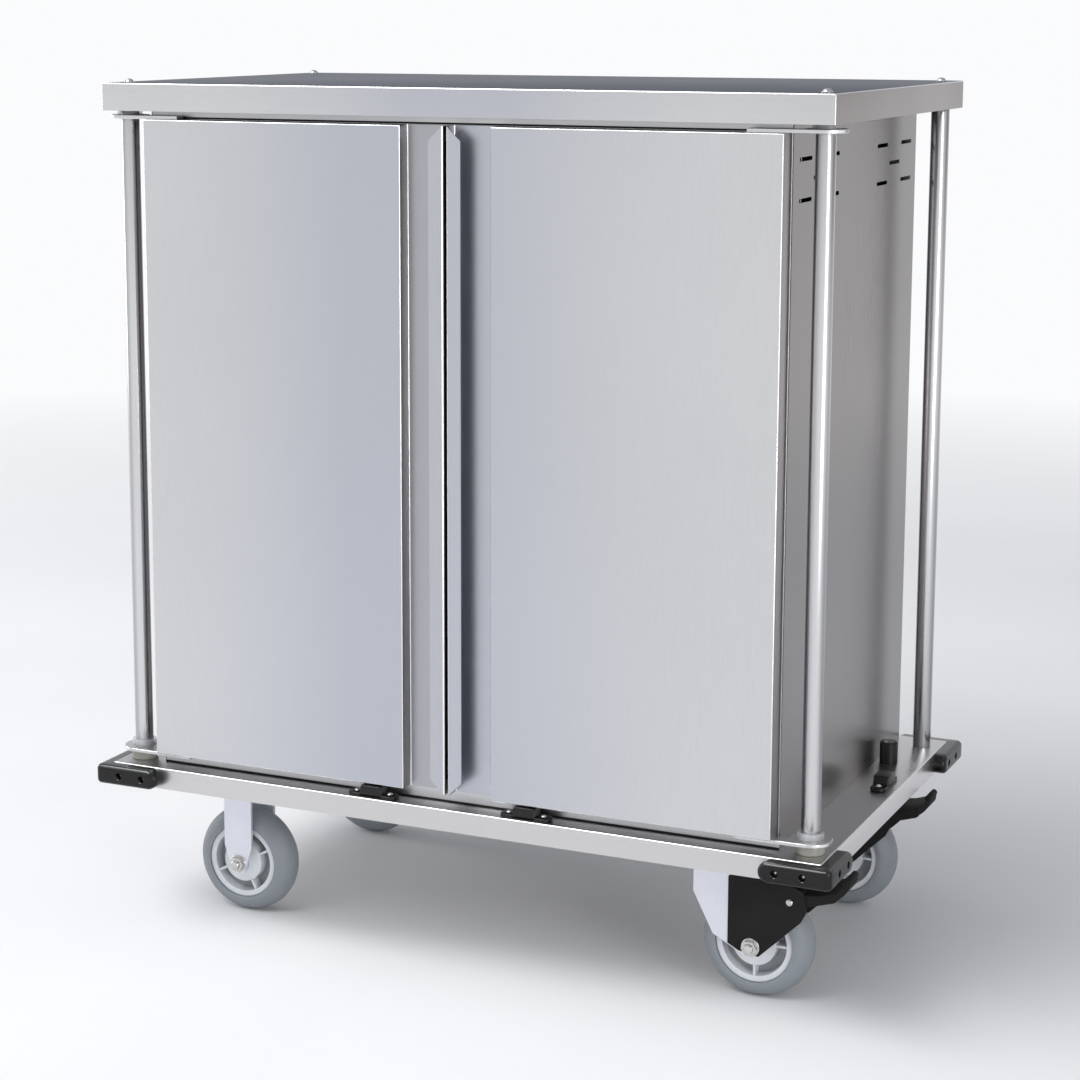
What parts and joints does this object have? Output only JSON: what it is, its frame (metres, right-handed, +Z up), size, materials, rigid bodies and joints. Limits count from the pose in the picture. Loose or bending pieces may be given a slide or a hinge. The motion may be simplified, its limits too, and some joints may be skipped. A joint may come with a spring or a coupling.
{
  "type": "enclosed meal tray cart",
  "caption": "Enclosed tray cart: stainless cabinet with swing-round doors on a deck, with corner posts, canopy, bumpers, rigid casters and braked swivel casters.",
  "frame": {"origin": "on the floor under the middle of the cart, at the centre of its footprint", "axes": "+X to the right as seen from the doors, +Y from the doors to the back, +Z up"},
  "size_m": [1.0872, 0.6412, 1.1915],
  "materials": {
    "satin_stainless": "satin brushed",
    "front_stainless": "bright satin",
    "post_stainless": "satin tube",
    "inner_stainless": "mill finish",
    "black_bumper": "matt black vinyl",
    "black_plastic": "matt black",
    "black_rubber": "matt black",
    "nylon": "natural beige",
    "zinc_fork": "bright zinc",
    "zinc_fastener": "bright zinc",
    "white_fastener": "bright",
    "black_metal": "black e-coat",
    "wheel_core": "light grey",
    "tyre": "soft blue-grey rubber"
  },
  "bodies": {
    "cart": {"deck_pan": "satin_stainless", "deck_skirts": "satin_stainless", "long_rails": "inner_stainless", "cross_rails": "inner_stainless", "front_posts": "post_stainless", "rear_posts": "post_stainless", "canopy": "satin_stainless", "post_cap_bolts": "zinc_fastener", "post_base_bolts": "zinc_fastener", "left_end_panel": "satin_stainless", "right_end_panel": "satin_stainless", "back_panel": "satin_stainless", "cabinet_floor": "inner_stainless", "cabinet_roof": "inner_stainless", "center_divider": "inner_stainless", "front_frame": "front_stainless", "rack_uprights": "inner_stainless", "left_bay_ledges": "inner_stainless", "right_bay_ledges": "inner_stainless", "bumper_front_left": "black_bumper", "bumper_front_right": "black_bumper", "bumper_rear_left": "black_bumper", "bumper_rear_right": "black_bumper", "bumper_screws": "zinc_fastener", "door_catches": "black_plastic", "catch_screws": "white_fastener", "door_stops": "black_rubber", "hinge_spacers": "nylon", "rigid_forks": "zinc_fork", "rigid_caster_axles": "zinc_fastener", "swivel_plates": "zinc_fork", "kingpins": "zinc_fastener", "caster_bolts": "zinc_fastener"},
    "left_door": {"left_door_skin": "front_stainless", "left_door_liner": "inner_stainless", "left_hinge_plates": "front_stainless", "left_hinge_bushings": "nylon", "left_door_gasket": "black_rubber"},
    "right_door": {"right_door_skin": "front_stainless", "right_door_liner": "inner_stainless", "right_hinge_plates": "front_stainless", "right_hinge_bushings": "nylon", "right_door_gasket": "black_rubber"},
    "front_swivel": {"front_yoke": "zinc_fork", "front_brake_plates": "black_metal", "front_yoke_pins": "zinc_fastener"},
    "rear_swivel": {"rear_yoke": "zinc_fork", "rear_brake_plates": "black_metal", "rear_yoke_pins": "zinc_fastener"},
    "front_pedal": {"front_brake_pedal": "black_metal"},
    "rear_pedal": {"rear_brake_pedal": "black_metal"},
    "wheel_front_left": {"wheel_core_front_left": "wheel_core", "tyre_front_left": "tyre"},
    "wheel_front_right": {"wheel_core_front_right": "wheel_core", "tyre_front_right": "tyre"},
    "wheel_rear_left": {"wheel_core_rear_left": "wheel_core", "tyre_rear_left": "tyre"},
    "wheel_rear_right": {"wheel_core_rear_right": "wheel_core", "tyre_rear_right": "tyre"}
  },
  "joints": [
    {"name": "left_door_hinge", "type": "hinge", "parent": "cart", "child": "left_door", "pos_m": [-0.4976, -0.2617, 0.7], "axis": [0, 0, 1], "range_deg": [-266, 0]},
    {"name": "right_door_hinge", "type": "hinge", "parent": "cart", "child": "right_door", "pos_m": [0.4976, -0.2617, 0.7], "axis": [0, 0, 1], "range_deg": [0, 266]},
    {"name": "front_swivel_turn", "type": "hinge", "parent": "cart", "child": "front_swivel", "pos_m": [0.366, -0.193, 0.18], "axis": [0, 0, 1], "continuous": true},
    {"name": "rear_swivel_turn", "type": "hinge", "parent": "cart", "child": "rear_swivel", "pos_m": [0.366, 0.193, 0.18], "axis": [0, 0, 1], "continuous": true},
    {"name": "front_pedal_press", "type": "hinge", "parent": "front_swivel", "child": "front_pedal", "pos_m": [0.461, -0.193, 0.145], "axis": [0, 1, 0], "range_deg": [0, 20]},
    {"name": "rear_pedal_press", "type": "hinge", "parent": "rear_swivel", "child": "rear_pedal", "pos_m": [0.461, 0.193, 0.145], "axis": [0, 1, 0], "range_deg": [0, 20]},
    {"name": "wheel_front_left_spin", "type": "hinge", "parent": "cart", "child": "wheel_front_left", "pos_m": [-0.366, -0.193, 0.0762], "axis": [0, 1, 0], "continuous": true},
    {"name": "wheel_front_right_spin", "type": "hinge", "parent": "front_swivel", "child": "wheel_front_right", "pos_m": [0.409, -0.193, 0.0762], "axis": [0, 1, 0], "continuous": true},
    {"name": "wheel_rear_left_spin", "type": "hinge", "parent": "cart", "child": "wheel_rear_left", "pos_m": [-0.366, 0.193, 0.0762], "axis": [0, 1, 0], "continuous": true},
    {"name": "wheel_rear_right_spin", "type": "hinge", "parent": "rear_swivel", "child": "wheel_rear_right", "pos_m": [0.409, 0.193, 0.0762], "axis": [0, 1, 0], "continuous": true}
  ]
}
